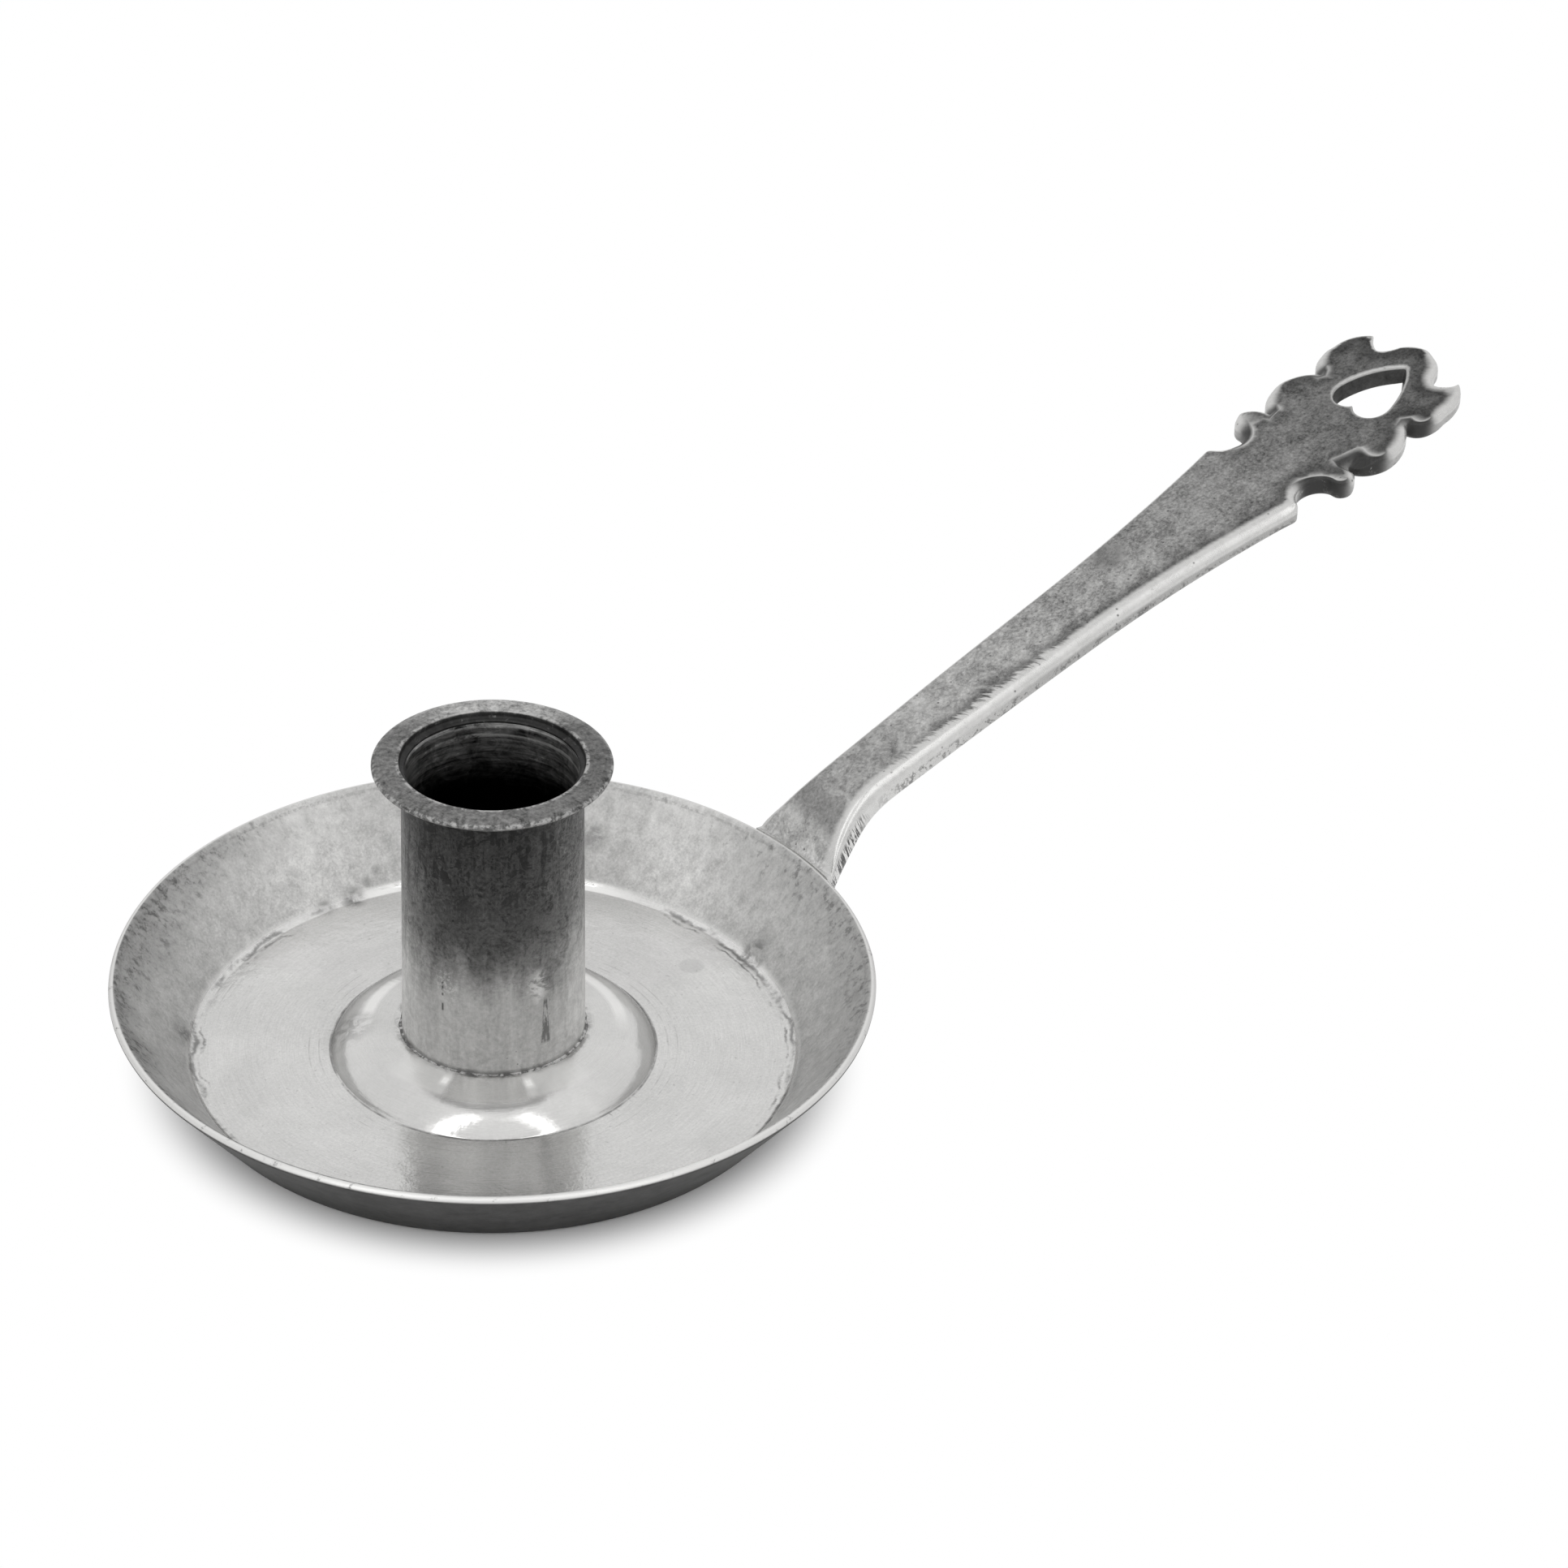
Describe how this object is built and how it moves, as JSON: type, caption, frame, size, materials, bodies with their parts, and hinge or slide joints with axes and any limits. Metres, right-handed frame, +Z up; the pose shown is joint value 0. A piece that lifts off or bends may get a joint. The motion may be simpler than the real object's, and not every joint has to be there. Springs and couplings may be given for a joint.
{
  "type": "chamberstick",
  "caption": "Hand candlestick: a dished round pan with a flanged candle socket on a low boss, and a long flat handle that ends in a fretted finial pierced by a heart.",
  "frame": {"origin": "centre of the pan on the surface that it stands on", "axes": "+Z up along the socket's axis, +X out along the handle"},
  "size_m": [0.2131, 0.1, 0.0539],
  "materials": {
    "pan_silver": "polished silver with fine round scratches and grey tarnish on the wall",
    "socket_silver": "silver with streaky dark tarnish",
    "rim_silver": "dull silver with bright worn edges",
    "handle_silver": "dark mottled patina on top, bright worn bevels",
    "solder": "pale silver solder with dark grime"
  },
  "bodies": {
    "root": {"drip_pan": "pan_silver", "socket_tube": "socket_silver", "socket_rim": "rim_silver", "socket_solder": "solder", "rim_solder": "solder", "handle": "handle_silver", "handle_solder": "solder"}
  },
  "joints": []
}
